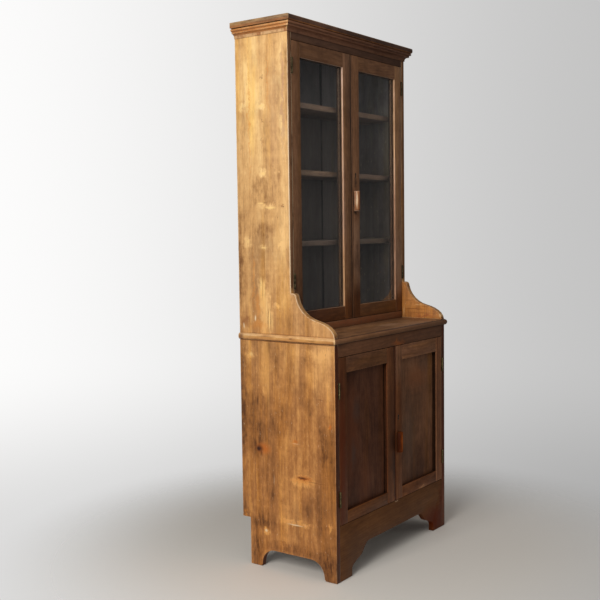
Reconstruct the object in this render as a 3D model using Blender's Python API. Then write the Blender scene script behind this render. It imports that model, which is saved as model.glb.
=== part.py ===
"""Pine housekeeper's cupboard: glazed doors above a counter, panelled doors below."""
import math

import bmesh
import bpy

# Whole cupboard, in metres
HEIGHT = 2.0
CASE_WIDTH = 0.816
LOWER_DEPTH = 0.424
UPPER_DEPTH = 0.238
SIDE_THICK = 0.022
BACK_THICK = 0.012
SHELF_THICK = 0.020

# Clearances
SEAT = 0.0003
DOOR_GAP = 0.002
HINGE_GAP = 0.002
MEETING_GAP = 0.0024
STOP_GAP = 0.0005

# Front elevation, from the floor up
PLINTH_HEIGHT = 0.201
LOWER_DOOR_HEIGHT = 0.599
FRIEZE_HEIGHT = 0.045
COUNTER_THICK = 0.024
SILL_HEIGHT = 0.029
TOP_RAIL_SHOW = 0.025
CORNICE_HEIGHT = 0.034
TOP_BOARD_THICK = 0.020

# Feet, arches and the notch over the skirting board
NOTCH_DEPTH = 0.036
NOTCH_HEIGHT = 0.177
ARCH_TOP = 0.068
ARCH_REAR = 0.089
ARCH_FRONT = 0.053
ARCH_ROUND = 0.057
FOOT_BEVEL = 0.008
PLINTH_ARCH_TOP = 0.101

# Side brackets that run from the upper case out to the counter
BRACKET_HEIGHT = 0.152

# Mouldings
OVERHANG = 0.028
TOP_NOSE = 0.007
BEAD_OUT = 0.010

# Joinery
HOUSING = 0.006
REBATE_WIDTH = 0.011
STOP_LIP = 0.010
STUB = 0.008
TENON_THICK = 0.007
TENON_LENGTH = 0.030
TENON_SHOULDER = 0.011
GROOVE = 0.008
BOARD_JOINT = 0.002
BOARD_JOINT_DEEP = 0.004

# Shelves, as shares of the height they stand in
UPPER_SHELF_SHARES = (0.302, 0.560, 0.802)
LOWER_SHELF_SHARE = 0.50
UPPER_SHELF_SETBACK = 0.058
LOWER_SHELF_SETBACK = 0.040
BACK_JOINT_SHARES = (-0.172, 0.148)

# Doors
LOWER_DOOR_THICK = 0.022
UPPER_DOOR_THICK = 0.022
HINGE_STILE = 0.050
MEETING_STILE = 0.054
LOWER_TOP_RAIL = 0.057
LOWER_BOTTOM_RAIL = 0.043
UPPER_TOP_RAIL = 0.054
UPPER_BOTTOM_RAIL = 0.049
PANEL_THICK = 0.005
PANEL_RECESS = 0.0135
GLASS_THICK = 0.003
GLASS_RECESS = 0.012
QUIRK_WIDTH = 0.0015
QUIRK_DEPTH = 0.002
STILE_BEAD = 0.005

# Butt hinges
HINGE_HEIGHT = 0.056
KNUCKLE_RADIUS = 0.0032
PIN_RADIUS = 0.0013
BORE_RADIUS = 0.0017
LEAF_WIDTH = 0.016
LEAF_OUTER = 0.0023
LEAF_INNER = 0.00015
KNUCKLE_SIDES = 12
LOWER_HINGE_INSETS = (0.095, 0.116)
UPPER_HINGE_INSETS = (0.163, 0.088)

# Pulls and lock bolts on the right-hand doors
PULL_WIDTH = 0.026
PULL_HEIGHT = 0.078
PULL_OUT = 0.018
PULL_FLANK = 0.005
LOWER_PULL_SHARE = 0.375
UPPER_PULL_SHARE = 0.449
BOLT_LENGTH = 0.030
BOLT_HEIGHT = 0.016
BOLT_THICK = 0.007
KEEP_DEPTH = 0.010
LOWER_LOCK_SHARE = 0.546
UPPER_LOCK_SHARE = 0.552

# Heights and planes that follow from the sizes above
LOWER_DOOR_LOW = PLINTH_HEIGHT + DOOR_GAP
LOWER_DOOR_HIGH = LOWER_DOOR_LOW + LOWER_DOOR_HEIGHT
FRIEZE_LOW = LOWER_DOOR_HIGH + DOOR_GAP
COUNTER_LOW = FRIEZE_LOW + FRIEZE_HEIGHT
COUNTER_HIGH = COUNTER_LOW + COUNTER_THICK
SILL_HIGH = COUNTER_HIGH + SILL_HEIGHT
UPPER_DOOR_LOW = SILL_HIGH + DOOR_GAP
TOP_BOARD_LOW = HEIGHT - TOP_BOARD_THICK
CORNICE_LOW = TOP_BOARD_LOW - CORNICE_HEIGHT
TOP_RAIL_LOW = CORNICE_LOW - TOP_RAIL_SHOW
UPPER_DOOR_HIGH = TOP_RAIL_LOW - DOOR_GAP
OUTER = CASE_WIDTH / 2
INNER = OUTER - SIDE_THICK
BACK_Y = (LOWER_DEPTH + max(PULL_OUT, BEAD_OUT)) / 2
PIN_X = INNER - HINGE_GAP / 2
PIN_OUT = KNUCKLE_RADIUS + SEAT

# Colours
PINE = (0.52, 0.30, 0.13)
STAINED = (0.22, 0.11, 0.055)
PANEL_BROWN = (0.13, 0.07, 0.045)
INSIDE = (0.30, 0.19, 0.11)
PULL_WOOD = (0.42, 0.20, 0.10)
BRASS = (0.55, 0.44, 0.20)
IRON = (0.10, 0.09, 0.085)
GLASS = (0.80, 0.85, 0.84)


# Start from an empty file
for old in list(bpy.data.objects):
    bpy.data.objects.remove(old, do_unlink=True)


def add(name, verts, faces):
    """Make one object from points given as x, depth from the back, and z."""
    mesh = bpy.data.meshes.new(name)
    mesh.from_pydata([(x, BACK_Y - d, z) for x, d, z in verts], [], faces)
    work = bmesh.new()
    work.from_mesh(mesh)
    bmesh.ops.recalc_face_normals(work, faces=work.faces)
    work.to_mesh(mesh)
    work.free()
    ob = bpy.data.objects.new(name, mesh)
    bpy.context.scene.collection.objects.link(ob)
    return ob


def loft(name, first, last):
    """Join two loops of points that match one to one into a closed bar."""
    n = len(first)
    sides = [(i, (i + 1) % n, n + (i + 1) % n, n + i) for i in range(n)]
    caps = [tuple(reversed(range(n))), tuple(range(n, 2 * n))]
    return add(name, list(first) + list(last), sides + caps)


def slab(name, xs, ds, zs):
    """A square-edged block between pairs of limits."""
    x0, x1 = sorted(xs)
    d0, d1 = sorted(ds)
    z0, z1 = sorted(zs)
    loop = [(x0, d0), (x1, d0), (x1, d1), (x0, d1)]
    return loft(name, [(x, d, z0) for x, d in loop], [(x, d, z1) for x, d in loop])


def bar_across(name, outline, xs):
    """Run a depth and height outline across the width."""
    return loft(name, [(xs[0], d, z) for d, z in outline], [(xs[1], d, z) for d, z in outline])


def rod(name, x, d, radius, zs, sides=KNUCKLE_SIDES):
    """An upright round bar."""
    turn = [2 * math.pi * (i + 0.5) / sides for i in range(sides)]
    loop = [(x + radius * math.cos(a), d + radius * math.sin(a)) for a in turn]
    return loft(name, [(px, pd, zs[0]) for px, pd in loop], [(px, pd, zs[1]) for px, pd in loop])


def bezier(a, b, c, d, steps):
    """Points along a cubic curve, leaving out its first point."""
    out = []
    for i in range(1, steps + 1):
        t = i / steps
        w = ((1 - t) ** 3, 3 * t * (1 - t) ** 2, 3 * t * t * (1 - t), t ** 3)
        out.append(tuple(sum(k * p[j] for k, p in zip(w, (a, b, c, d))) for j in range(2)))
    return out


def combine(ob, others, operation):
    """Apply a boolean with each of the other objects, then drop them."""
    for other in others:
        mod = ob.modifiers.new("joint", "BOOLEAN")
        mod.operation = operation
        mod.solver = "EXACT"
        mod.object = other
    graph = bpy.context.evaluated_depsgraph_get()
    shaped = bpy.data.meshes.new_from_object(ob.evaluated_get(graph))
    ob.modifiers.clear()
    plain = ob.data
    ob.data = shaped
    ob.data.name = ob.name
    bpy.data.meshes.remove(plain)
    for other in others:
        bpy.data.objects.remove(other, do_unlink=True)
    return ob


def cut(ob, others):
    return combine(ob, others, "DIFFERENCE")


def fuse(ob, others):
    return combine(ob, others, "UNION")


def paint(ob, colour, rough, metal=0.0, alpha=1.0):
    """Give an object a plain material of its own."""
    mat = bpy.data.materials.new(ob.name)
    mat.use_nodes = True
    shader = mat.node_tree.nodes["Principled BSDF"]
    shader.inputs["Base Color"].default_value = (*colour, 1.0)
    shader.inputs["Roughness"].default_value = rough
    shader.inputs["Metallic"].default_value = metal
    shader.inputs["Alpha"].default_value = alpha
    mat.diffuse_color = (*colour, alpha)
    ob.data.materials.clear()
    ob.data.materials.append(mat)
    return ob


# Full-height side boards, cut to the bracket curve, the foot arch and the skirting notch
def side_outline():
    step = LOWER_DEPTH - UPPER_DEPTH

    def bracket(u, h):
        return (UPPER_DEPTH + u * step, COUNTER_HIGH + h * BRACKET_HEIGHT)

    curve = [bracket(1.0, 0.0)]
    nose = (bracket(1.0, 0.0), bracket(0.99, 0.19), bracket(0.80, 0.32), bracket(0.575, 0.378))
    cove = (nose[3], bracket(0.34, 0.44), bracket(0.17, 0.65), bracket(0.125, 0.90))
    shoulder = (cove[3], bracket(0.12, 0.97), bracket(0.09, 1.0), bracket(0.03, 1.0))
    for piece in (nose, cove, shoulder):
        curve += bezier(*piece, 6)
    curve.append(bracket(0.0, 1.0))
    rise = ARCH_TOP - FOOT_BEVEL
    front = LOWER_DEPTH - ARCH_FRONT
    turns = [math.pi / 2 * i / 6 for i in range(7)]
    rear_arch = [(ARCH_REAR + ARCH_ROUND * (1 - math.cos(a)), FOOT_BEVEL + rise * math.sin(a)) for a in turns]
    front_arch = [(front - ARCH_ROUND * (1 - math.cos(a)), FOOT_BEVEL + rise * math.sin(a)) for a in turns]
    rear_foot = [(NOTCH_DEPTH, 0), (ARCH_REAR - FOOT_BEVEL / 4, 0)]
    front_foot = [(front + FOOT_BEVEL / 3, FOOT_BEVEL / 4), (front + FOOT_BEVEL, 0), (LOWER_DEPTH, 0)]
    top = TOP_BOARD_LOW - SEAT
    rear = [(UPPER_DEPTH, top), (0, top), (0, NOTCH_HEIGHT), (NOTCH_DEPTH, NOTCH_HEIGHT)]
    return rear_foot + rear_arch + front_arch[::-1] + front_foot + curve + rear


def housings(s):
    """Cutters for everything that is let into one side board."""
    deep = (s * (INNER - 0.001), s * (INNER + HOUSING))
    tools = [slab("cut", (s * (INNER - 0.001), s * (INNER + REBATE_WIDTH)), (-0.001, BACK_THICK + SEAT),
                  (BACK_LOW - SEAT, HEIGHT))]
    tools.append(slab("cut", deep, (BACK_THICK - 0.001, LOWER_DEPTH + 0.001),
                      (COUNTER_LOW - SEAT, COUNTER_HIGH + SEAT)))
    for high, front in SHELVES:
        tools.append(slab("cut", deep, (BACK_THICK - 0.001, front + SEAT),
                          (high - SHELF_THICK - SEAT, high + SEAT)))
    for zs, face, thick in RAIL_STUBS:
        mid = face - thick / 2
        tools.append(slab("cut", (s * (INNER - 0.001), s * (INNER + STUB + SEAT)),
                          (mid - TENON_THICK / 2 - SEAT, mid + TENON_THICK / 2 + SEAT),
                          (zs[0] - SEAT, zs[1] + SEAT)))
    for face, z in HINGES:
        tools.append(slab("cut", (s * (INNER - 0.001), s * (PIN_X + LEAF_OUTER + SEAT)),
                          (face - LEAF_WIDTH - 2 * SEAT, face + 0.001),
                          (z - HINGE_HEIGHT / 2 - SEAT, z + HINGE_HEIGHT / 2 + SEAT)))
    return tools


BACK_LOW = NOTCH_HEIGHT + 0.006
UPPER_SHELVES = [SILL_HIGH + share * (TOP_RAIL_LOW - SILL_HIGH) for share in UPPER_SHELF_SHARES]
LOWER_SHELF_HIGH = PLINTH_HEIGHT + LOWER_SHELF_SHARE * (FRIEZE_LOW - PLINTH_HEIGHT)
BOTTOM_HIGH = PLINTH_HEIGHT + STOP_LIP
BOTTOM_FRONT = LOWER_DEPTH - LOWER_DOOR_THICK - STOP_GAP
SHELVES = [(high, UPPER_DEPTH - UPPER_SHELF_SETBACK) for high in UPPER_SHELVES]
SHELVES += [(LOWER_SHELF_HIGH, LOWER_DEPTH - LOWER_SHELF_SETBACK), (BOTTOM_HIGH, BOTTOM_FRONT)]
RAIL_STUBS = [
    ((PLINTH_ARCH_TOP + 0.02, PLINTH_HEIGHT - 0.02), LOWER_DEPTH, LOWER_DOOR_THICK),
    ((FRIEZE_LOW + 0.008, COUNTER_LOW - 0.008), LOWER_DEPTH, LOWER_DOOR_THICK),
    ((COUNTER_HIGH + 0.006, SILL_HIGH - 0.006), UPPER_DEPTH, UPPER_DOOR_THICK),
    ((TOP_RAIL_LOW + 0.010, TOP_BOARD_LOW - 0.010), UPPER_DEPTH, UPPER_DOOR_THICK),
]
LOWER_HINGES = (LOWER_DOOR_LOW + LOWER_HINGE_INSETS[0], LOWER_DOOR_HIGH - LOWER_HINGE_INSETS[1])
UPPER_HINGES = (UPPER_DOOR_LOW + UPPER_HINGE_INSETS[0], UPPER_DOOR_HIGH - UPPER_HINGE_INSETS[1])
HINGES = [(LOWER_DEPTH, z) for z in LOWER_HINGES] + [(UPPER_DEPTH, z) for z in UPPER_HINGES]

for s, name in ((-1, "side_left"), (1, "side_right")):
    board = bar_across(name, side_outline(), (s * INNER, s * OUTER))
    paint(cut(board, housings(s)), PINE, 0.5)


# Counter, bottom board and shelves, housed in the sides
def shelf(name, zs, front):
    half = INNER + HOUSING - SEAT
    return slab(name, (-half, half), (BACK_THICK + 2 * SEAT, front), zs)


paint(shelf("counter_board", (COUNTER_LOW, COUNTER_HIGH), LOWER_DEPTH), STAINED, 0.4)
paint(shelf("bottom_board", (BOTTOM_HIGH - SHELF_THICK, BOTTOM_HIGH), BOTTOM_FRONT), INSIDE, 0.6)
paint(shelf("lower_shelf", (LOWER_SHELF_HIGH - SHELF_THICK, LOWER_SHELF_HIGH), SHELVES[3][1]), INSIDE, 0.6)
for name, high in zip(("upper_shelf_low", "upper_shelf_middle", "upper_shelf_high"), UPPER_SHELVES):
    paint(shelf(name, (high - SHELF_THICK, high), SHELVES[0][1]), INSIDE, 0.6)


# Boarded back, let into the rebates of the sides
half_back = INNER + REBATE_WIDTH - SEAT
back = slab("back", (-half_back, half_back), (0, BACK_THICK), (BACK_LOW, TOP_BOARD_LOW - SEAT))
gaps = []
for share in BACK_JOINT_SHARES:
    xs = (share * CASE_WIDTH - BOARD_JOINT / 2, share * CASE_WIDTH + BOARD_JOINT / 2)
    gaps.append(slab("cut", xs, (-0.001, BOARD_JOINT_DEEP), (0, HEIGHT)))
    gaps.append(slab("cut", xs, (BACK_THICK - BOARD_JOINT_DEEP, BACK_THICK + 0.001), (0, HEIGHT)))
paint(cut(back, gaps), INSIDE, 0.7)


# Front rails between the sides, each with stub tenons and a lip that stops the doors
def front_rail(name, outline, stub):
    half = INNER - SEAT
    zs, face, thick = stub
    ob = bar_across(name, outline, (-half, half))
    mid = face - thick / 2
    ends = []
    for s in (-1, 1):
        ends.append(slab("stub", (s * (half - 0.001), s * (INNER + STUB)),
                         (mid - TENON_THICK / 2, mid + TENON_THICK / 2), zs))
    return fuse(ob, ends)


def lipped(face, thick, low, high, lip_up):
    """Outline of a rail as thick as its doors, with a stop lip behind them."""
    rear = face - thick - STOP_GAP
    far = rear - STOP_LIP
    if lip_up:
        return [(face, low), (face, high), (rear, high), (rear, high + STOP_LIP),
                (far, high + STOP_LIP), (far, low)]
    return [(face, high), (face, low), (rear, low), (rear, low - STOP_LIP),
            (far, low - STOP_LIP), (far, high)]


paint(front_rail("frieze_rail", lipped(LOWER_DEPTH, LOWER_DOOR_THICK, FRIEZE_LOW, COUNTER_LOW - SEAT, False),
                 RAIL_STUBS[1]), STAINED, 0.5)
paint(front_rail("upper_sill", lipped(UPPER_DEPTH, UPPER_DOOR_THICK, COUNTER_HIGH + SEAT, SILL_HIGH, True),
                 RAIL_STUBS[2]), STAINED, 0.5)
paint(front_rail("top_rail", lipped(UPPER_DEPTH, UPPER_DOOR_THICK, TOP_RAIL_LOW, TOP_BOARD_LOW - SEAT, False),
                 RAIL_STUBS[3]), STAINED, 0.5)


# Plinth with bracket feet, flush between the sides
def plinth_outline():
    half = INNER - SEAT
    foot = [(half - 0.078, 0), (half - 0.078, 0.030)]
    lower = ((half - 0.078, 0.030), (half - 0.086, 0.048), (half - 0.124, 0.050), (half - 0.146, 0.066))
    upper = (lower[3], (half - 0.160, 0.080), (half - 0.171, PLINTH_ARCH_TOP - 0.004),
             (half - 0.190, PLINTH_ARCH_TOP))
    inner = foot + bezier(*lower, 5) + bezier(*upper, 5)
    right = [(half, PLINTH_HEIGHT), (half, 0)] + inner
    return right + [(-x, z) for x, z in reversed(right)]


rear_d = LOWER_DEPTH - LOWER_DOOR_THICK
plinth = loft("front_plinth", [(x, rear_d, z) for x, z in plinth_outline()],
              [(x, LOWER_DEPTH, z) for x, z in plinth_outline()])
zs, face, thick = RAIL_STUBS[0]
mid = face - thick / 2
fuse(plinth, [slab("stub", (s * (INNER - 0.001), s * (INNER + STUB)),
                   (mid - TENON_THICK / 2, mid + TENON_THICK / 2), zs) for s in (-1, 1)])
paint(plinth, STAINED, 0.5)


# Mouldings that wrap the front and both sides, mitred at the corners
def wrap(front_name, left_name, right_name, profile, face, low):
    """Run a profile of projection and height round three sides of the case."""
    trim = SEAT * 0.75
    made = []
    front = [(OUTER + SEAT + p, face + SEAT + p, low + h) for p, h in profile]
    made.append(loft(front_name, [(trim - x, d, z) for x, d, z in front], [(x - trim, d, z) for x, d, z in front]))
    for s, name in ((-1, left_name), (1, right_name)):
        made.append(loft(name, [(s * x, 0, z) for x, d, z in front], [(s * x, d - trim, z) for x, d, z in front]))
    return made


def half_round(thick, out, steps):
    turns = [math.pi * i / steps for i in range(steps + 1)]
    return [(out * math.sin(a), thick / 2 * (1 - math.cos(a))) for a in turns]


def cornice_profile():
    """Fillet, cove, fascia and half-round bead, from the bottom up."""
    k = CORNICE_HEIGHT / 34
    turns = [math.pi / 2 * i / 5 for i in range(6)]
    cove = [((16 - 13 * math.cos(a)) * k, (4 + 12 * math.sin(a)) * k) for a in turns]
    bead = [((18 + 6 * math.sin(2 * a)) * k, (28.5 - 5.5 * math.cos(2 * a)) * k) for a in turns]
    return [(0, 0), (3 * k, 0)] + cove + [(17 * k, 16 * k), (17 * k, 23 * k)] + bead + [(0, 34 * k)]


for ob in wrap("waist_bead_front", "waist_bead_left", "waist_bead_right",
               half_round(COUNTER_THICK, BEAD_OUT, 8), LOWER_DEPTH, COUNTER_LOW):
    paint(ob, STAINED if ob.name.endswith("front") else PINE, 0.5)
cornice = [(p, h * (1 - SEAT / CORNICE_HEIGHT)) for p, h in cornice_profile()]
for ob in wrap("cornice_front", "cornice_left", "cornice_right", cornice, UPPER_DEPTH, CORNICE_LOW):
    paint(ob, STAINED if ob.name.endswith("front") else PINE, 0.5)


# Top board with a rounded front edge
def top_outline():
    front = UPPER_DEPTH + OVERHANG
    turns = [math.pi / 2 * i / 4 for i in range(5)]
    high = [(front - TOP_NOSE * (1 - math.sin(a)), HEIGHT - TOP_NOSE * (1 - math.cos(a))) for a in turns]
    low = [(front - TOP_NOSE * (1 - math.cos(a)), TOP_BOARD_LOW + TOP_NOSE * (1 - math.sin(a))) for a in turns]
    return [(0, TOP_BOARD_LOW), (0, HEIGHT)] + high + low


half_top = OUTER + OVERHANG
paint(bar_across("top_board", top_outline(), (-half_top, half_top)), PINE, 0.6)


# Butt hinges: a frame leaf with its pin, and a door leaf that turns on it
def butt_hinge(name, s, face, z):
    pin_d = face + PIN_OUT
    low, high = z - HINGE_HEIGHT / 2, z + HINGE_HEIGHT / 2
    third = HINGE_HEIGHT / 3
    plate_d = (face - SEAT - LEAF_WIDTH, face - SEAT)
    neck_d = (face - SEAT - 0.001, pin_d)

    def leaf(label, t, spans):
        xs = (s * (PIN_X + t * LEAF_INNER), s * (PIN_X + t * LEAF_OUTER))
        ob = slab(label, xs, plate_d, (low, high))
        extra = []
        for zs in spans:
            extra.append(slab("neck", xs, neck_d, zs))
            extra.append(rod("knuckle", s * PIN_X, pin_d, KNUCKLE_RADIUS, zs))
        return fuse(ob, extra)

    frame = leaf(name + "_frame_leaf", 1, ((low, low + third), (high - third, high)))
    fuse(frame, [rod("pin", s * PIN_X, pin_d, PIN_RADIUS, (low + 0.001, high - 0.001))])
    door = leaf(name + "_door_leaf", -1, ((low + third + SEAT, high - third - SEAT),))
    cut(door, [rod("bore", s * PIN_X, pin_d, BORE_RADIUS, (low, high))])
    paint(frame, BRASS, 0.4, metal=1.0)
    paint(door, BRASS, 0.4, metal=1.0)
    return door


# Framed doors, morticed and tenoned round a panel or a pane
def framed_door(name, s, zs, face, thick, rails, infill, hinge_heights, lock_z):
    low, high = zs
    low_rail, high_rail = rails
    outer = INNER - HINGE_GAP
    meet = MEETING_GAP / 2
    open_x = (meet + MEETING_STILE, outer - HINGE_STILE)
    open_z = (low + low_rail, high - high_rail)
    ds = (face - thick, face)
    mid = face - thick / 2
    tenon_d = (mid - TENON_THICK / 2, mid + TENON_THICK / 2)
    tenon_z = ((low + TENON_SHOULDER, open_z[0] - TENON_SHOULDER),
               (open_z[1] + TENON_SHOULDER, high - TENON_SHOULDER))
    glazed = infill == "pane"
    fill_thick = GLASS_THICK if glazed else PANEL_THICK
    recess = GLASS_RECESS if glazed else PANEL_RECESS
    fill_d = (face - recess - fill_thick - SEAT, face - recess - SEAT)
    grow = GROOVE - 2 * SEAT

    def groove():
        rear = face - thick - 0.001 if glazed else fill_d[0] - SEAT
        return slab("cut", (s * (open_x[0] - GROOVE), s * (open_x[1] + GROOVE)), (rear, fill_d[1] + SEAT),
                    (open_z[0] - GROOVE, open_z[1] + GROOVE))

    def mortices(edge, t):
        deep = (s * (edge - t * 0.001), s * (edge + t * (TENON_LENGTH + SEAT)))
        return [slab("cut", deep, (tenon_d[0] - SEAT, tenon_d[1] + SEAT), (z[0] - SEAT, z[1] + SEAT))
                for z in tenon_z]

    hinge_stile = slab(name + "_hinge_stile", (s * open_x[1], s * outer), ds, zs)
    tools = [groove()] + mortices(open_x[1], 1)
    for z in hinge_heights:
        tools.append(slab("cut", (s * (PIN_X - LEAF_OUTER - SEAT), s * (outer + 0.001)),
                          (face - LEAF_WIDTH - 2 * SEAT, face + 0.001),
                          (z - HINGE_HEIGHT / 2 - SEAT, z + HINGE_HEIGHT / 2 + SEAT)))
    cut(hinge_stile, tools)

    meeting_stile = slab(name + "_meeting_stile", (s * meet, s * open_x[0]), ds, zs)
    tools = [groove()] + mortices(open_x[0], -1)
    lock_d = (mid - BOLT_THICK / 2 - SEAT, mid + BOLT_THICK / 2 + SEAT)
    lock_zs = (lock_z - BOLT_HEIGHT / 2 - SEAT, lock_z + BOLT_HEIGHT / 2 + SEAT)
    pocket = KEEP_DEPTH if s < 0 else BOLT_LENGTH + 3 * SEAT
    tools.append(slab("cut", (s * (meet - 0.001), s * (meet + pocket)), lock_d, lock_zs))
    if s > 0:
        tools.append(slab("cut", (meet + STILE_BEAD, meet + STILE_BEAD + QUIRK_WIDTH),
                          (face - QUIRK_DEPTH, face + 0.001), (low - 0.001, high + 0.001)))
    cut(meeting_stile, tools)

    made = [hinge_stile, meeting_stile]
    rail_zs = ((low, open_z[0]), (open_z[1], high))
    for label, rail_z, peg_z in zip(("_bottom_rail", "_top_rail"), rail_zs, tenon_z):
        rail = slab(name + label, (s * (open_x[0] + SEAT), s * (open_x[1] - SEAT)), ds, rail_z)
        fuse(rail, [slab("tenon", (s * (open_x[0] - TENON_LENGTH), s * (open_x[0] + 0.002)), tenon_d, peg_z),
                    slab("tenon", (s * (open_x[1] - 0.002), s * (open_x[1] + TENON_LENGTH)), tenon_d, peg_z)])
        made.append(cut(rail, [groove()]))
    for ob in made:
        paint(ob, STAINED, 0.45)
    fill = slab(name + "_" + infill, (s * (open_x[0] - grow), s * (open_x[1] + grow)), fill_d,
                (open_z[0] - grow, open_z[1] + grow))
    if glazed:
        paint(fill, GLASS, 0.05, alpha=0.35)
    else:
        paint(fill, PANEL_BROWN, 0.5)
    made.append(fill)
    for label, z in zip(("_low_hinge", "_high_hinge"), hinge_heights):
        made.append(butt_hinge(name + label, s, face, z))

    pin = bpy.data.objects.new(name + "_pin_axis", None)
    pin.location = (s * PIN_X, BACK_Y - face - PIN_OUT, (low + high) / 2)
    bpy.context.scene.collection.objects.link(pin)
    bpy.context.view_layer.update()
    return made, pin


def hang(pieces, pin):
    """Parent a door's pieces to the empty on its hinge line, without moving them."""
    for ob in pieces:
        ob.parent = pin
        ob.matrix_parent_inverse = pin.matrix_world.inverted()


# Pulls and lock bolts, carried by the right-hand doors
def pull(name, face, z):
    mid = MEETING_GAP / 2 + MEETING_STILE / 2
    turns = [math.pi * i / 8 for i in range(9)]
    rim = [(mid + PULL_WIDTH / 2 * math.cos(a), face + PULL_FLANK + (PULL_OUT - PULL_FLANK) * math.sin(a))
           for a in turns]
    loop = [(mid - PULL_WIDTH / 2, face + SEAT), (mid + PULL_WIDTH / 2, face + SEAT)] + rim
    zs = (z - PULL_HEIGHT / 2, z + PULL_HEIGHT / 2)
    ob = loft(name, [(x, d, zs[0]) for x, d in loop], [(x, d, zs[1]) for x, d in loop])
    return paint(ob, PULL_WOOD, 0.35)


def bolt(name, face, thick, z):
    mid = face - thick / 2
    rest = MEETING_GAP / 2 + SEAT
    ob = slab(name, (rest, rest + BOLT_LENGTH), (mid - BOLT_THICK / 2, mid + BOLT_THICK / 2),
              (z - BOLT_HEIGHT / 2, z + BOLT_HEIGHT / 2))
    return paint(ob, IRON, 0.5, metal=1.0)


lower_zs = (LOWER_DOOR_LOW, LOWER_DOOR_HIGH)
upper_zs = (UPPER_DOOR_LOW, UPPER_DOOR_HIGH)
lower_lock = LOWER_DOOR_LOW + LOWER_LOCK_SHARE * (LOWER_DOOR_HIGH - LOWER_DOOR_LOW)
upper_lock = UPPER_DOOR_LOW + UPPER_LOCK_SHARE * (UPPER_DOOR_HIGH - UPPER_DOOR_LOW)
for s, hand in ((-1, "left"), (1, "right")):
    lower, lower_pin = framed_door("lower_" + hand, s, lower_zs, LOWER_DEPTH, LOWER_DOOR_THICK,
                                   (LOWER_BOTTOM_RAIL, LOWER_TOP_RAIL), "panel", LOWER_HINGES, lower_lock)
    upper, upper_pin = framed_door("upper_" + hand, s, upper_zs, UPPER_DEPTH, UPPER_DOOR_THICK,
                                   (UPPER_BOTTOM_RAIL, UPPER_TOP_RAIL), "pane", UPPER_HINGES, upper_lock)
    if s > 0:
        lower.append(pull("lower_pull", LOWER_DEPTH, LOWER_DOOR_LOW + LOWER_PULL_SHARE * LOWER_DOOR_HEIGHT))
        lower.append(bolt("lower_lock_bolt", LOWER_DEPTH, LOWER_DOOR_THICK, lower_lock))
        upper.append(pull("upper_pull", UPPER_DEPTH,
                          UPPER_DOOR_LOW + UPPER_PULL_SHARE * (UPPER_DOOR_HIGH - UPPER_DOOR_LOW)))
        upper.append(bolt("upper_lock_bolt", UPPER_DEPTH, UPPER_DOOR_THICK, upper_lock))
    hang(lower, lower_pin)
    hang(upper, upper_pin)
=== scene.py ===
"""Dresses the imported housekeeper's cupboard: aged pine, old glass, tarnished hinges, soft window light."""
import math

import bmesh
import bpy
from mathutils import Matrix, Vector


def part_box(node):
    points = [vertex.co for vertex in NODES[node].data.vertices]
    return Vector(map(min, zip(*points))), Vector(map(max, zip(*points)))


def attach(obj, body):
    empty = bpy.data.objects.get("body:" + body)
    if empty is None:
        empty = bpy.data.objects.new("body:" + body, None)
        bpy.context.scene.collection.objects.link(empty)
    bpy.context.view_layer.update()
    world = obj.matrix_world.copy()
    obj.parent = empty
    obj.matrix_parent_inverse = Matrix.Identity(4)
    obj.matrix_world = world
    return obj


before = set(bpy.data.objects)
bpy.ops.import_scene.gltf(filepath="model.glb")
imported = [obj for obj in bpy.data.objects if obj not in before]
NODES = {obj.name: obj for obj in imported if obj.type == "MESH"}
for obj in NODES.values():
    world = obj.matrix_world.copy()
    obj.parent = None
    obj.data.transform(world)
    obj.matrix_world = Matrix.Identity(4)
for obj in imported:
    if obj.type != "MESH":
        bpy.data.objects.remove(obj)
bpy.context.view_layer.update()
scene = bpy.context.scene
scene.view_settings.view_transform = "Standard"
BACK_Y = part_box("back")[1][1]


# Colours are given as they look on screen
def tone(r, g, b):
    """A screen colour from 0 to 255 as linear light."""
    out = []
    for v in (r, g, b):
        v = v / 255
        out.append(v / 12.92 if v <= 0.04045 else ((v + 0.055) / 1.055) ** 2.4)
    return (*out, 1.0)


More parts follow.
